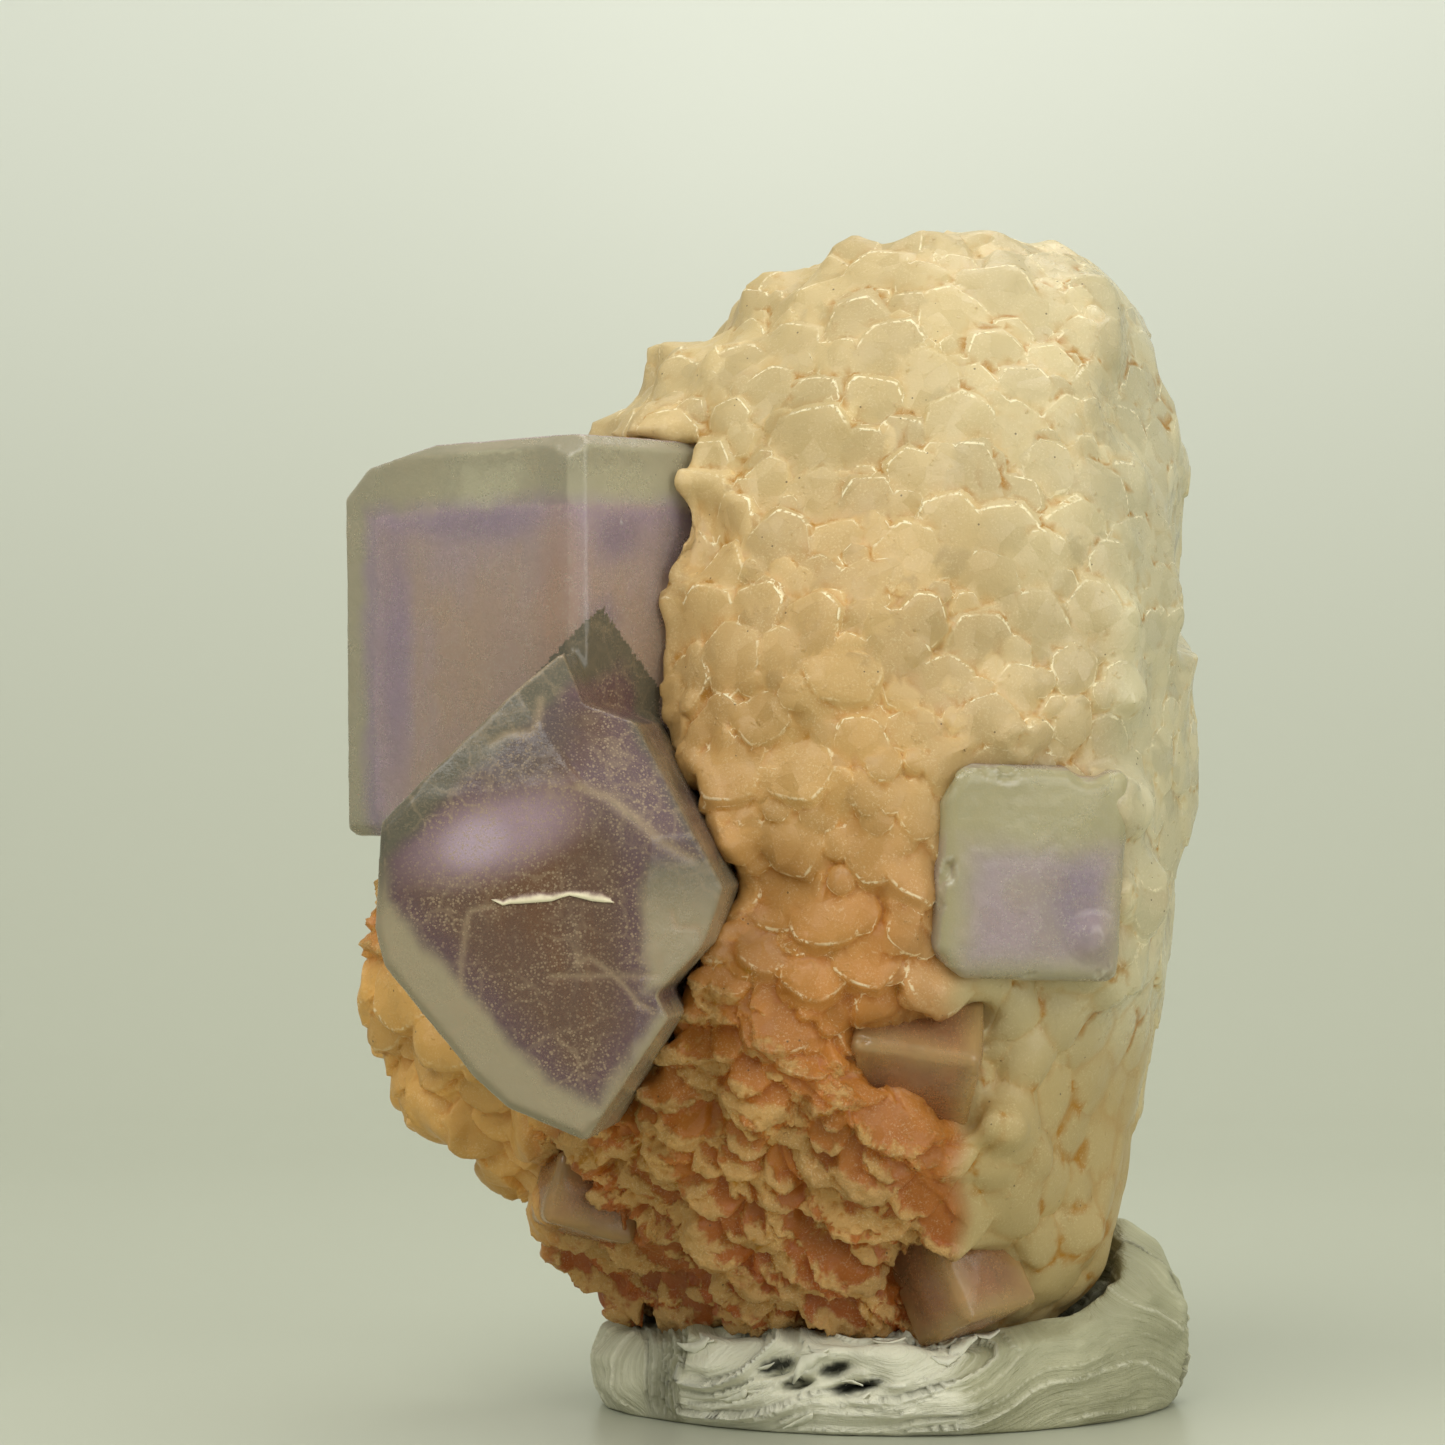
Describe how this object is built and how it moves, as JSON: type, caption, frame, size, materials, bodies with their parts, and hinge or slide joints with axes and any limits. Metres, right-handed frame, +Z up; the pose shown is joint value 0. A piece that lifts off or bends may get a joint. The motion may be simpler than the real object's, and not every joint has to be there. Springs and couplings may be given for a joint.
{
  "type": "phantom fluorite on quartz specimen",
  "caption": "Standing mineral specimen: zoned purple fluorite cubes on a plate of peach drusy quartz, held upright in a pad of grey mounting putty.",
  "frame": {"origin": "on the table under the middle of the specimen's box", "axes": "+Z up along the height of the specimen, -Y out of its display face, +X to the right of the display face"},
  "size_m": [0.0554, 0.0412, 0.0759],
  "materials": {
    "drusy_quartz": "cream to orange-brown druse of small quartz points, satin and slightly translucent, with rust in the grooves",
    "zoned_fluorite": "clear grey-green rim round a purple zone, with a frosted, finely pitted skin",
    "mounting_putty": "grey-white mounting putty, folded and twisted by hand, matt with a waxy sheen"
  },
  "bodies": {
    "root": {"quartz_matrix": "drusy_quartz", "fluorite_pair": "zoned_fluorite", "fluorite_right": "zoned_fluorite", "fluorite_centre": "zoned_fluorite", "fluorite_corner": "zoned_fluorite", "fluorite_low_left": "zoned_fluorite", "putty_base": "mounting_putty"}
  },
  "joints": []
}
